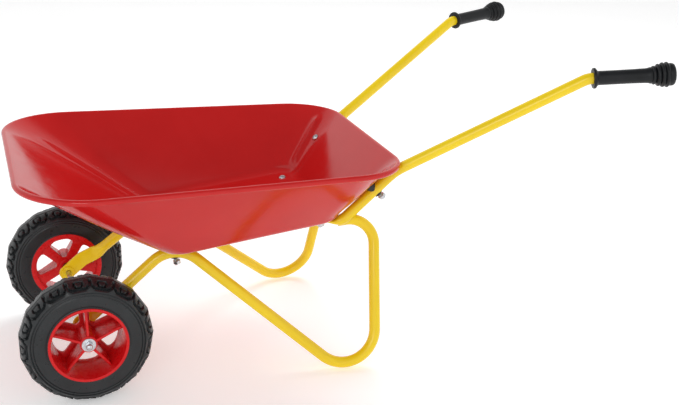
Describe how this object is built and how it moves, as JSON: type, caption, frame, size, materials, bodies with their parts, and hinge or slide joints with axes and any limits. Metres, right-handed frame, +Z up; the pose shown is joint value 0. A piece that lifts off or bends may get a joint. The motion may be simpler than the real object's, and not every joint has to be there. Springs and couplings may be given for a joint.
{
  "type": "wheelbarrow",
  "caption": "Child-size wheelbarrow: pressed tray with a curled rim on bent-tube legs and handles, with moulded wheels on a through axle.",
  "frame": {"origin": "middle of the ground under the whole wheelbarrow, with its wheels and feet on z = 0", "axes": "+X towards the handles, +Y to the operator's right, +Z up"},
  "size_m": [0.8975, 0.5572, 0.4472],
  "materials": {
    "red_paint": "gloss",
    "yellow_paint": "gloss",
    "red_plastic": "satin, moulded",
    "tyre_rubber": "matt, moulded",
    "grip_rubber": "satin",
    "black_plastic": "satin",
    "zinc": "bright zinc plate"
  },
  "bodies": {
    "frame": {"tray": "red_paint", "axle": "zinc", "left_undercarriage_tube": "yellow_paint", "left_handle_tube": "yellow_paint", "left_grip": "grip_rubber", "left_axle_nut": "zinc", "left_outer_washer": "zinc", "left_axle_collar": "black_plastic", "left_lock_washer": "zinc", "left_front_bolt": "zinc", "left_front_spacer": "black_plastic", "left_front_saddle": "black_plastic", "left_front_nut": "zinc", "left_wall_bolt": "zinc", "left_wall_spacer": "black_plastic", "left_wall_saddle": "black_plastic", "left_wall_nut": "zinc", "left_rear_bolt": "zinc", "left_rear_washer": "zinc", "left_rear_nut": "zinc", "right_undercarriage_tube": "yellow_paint", "right_handle_tube": "yellow_paint", "right_grip": "grip_rubber", "right_axle_nut": "zinc", "right_outer_washer": "zinc", "right_axle_collar": "black_plastic", "right_lock_washer": "zinc", "right_front_bolt": "zinc", "right_front_spacer": "black_plastic", "right_front_saddle": "black_plastic", "right_front_nut": "zinc", "right_wall_bolt": "zinc", "right_wall_spacer": "black_plastic", "right_wall_saddle": "black_plastic", "right_wall_nut": "zinc", "right_rear_bolt": "zinc", "right_rear_washer": "zinc", "right_rear_nut": "zinc"},
    "left_wheel": {"left_wheel_rim": "red_plastic", "left_tyre": "tyre_rubber"},
    "right_wheel": {"right_wheel_rim": "red_plastic", "right_tyre": "tyre_rubber"}
  },
  "joints": [
    {"name": "left_wheel_spin", "type": "hinge", "parent": "frame", "child": "left_wheel", "pos_m": [-0.36035, -0.1419, 0.09], "axis": [0, 1, 0], "continuous": true},
    {"name": "right_wheel_spin", "type": "hinge", "parent": "frame", "child": "right_wheel", "pos_m": [-0.36035, 0.1419, 0.09], "axis": [0, 1, 0], "continuous": true}
  ]
}
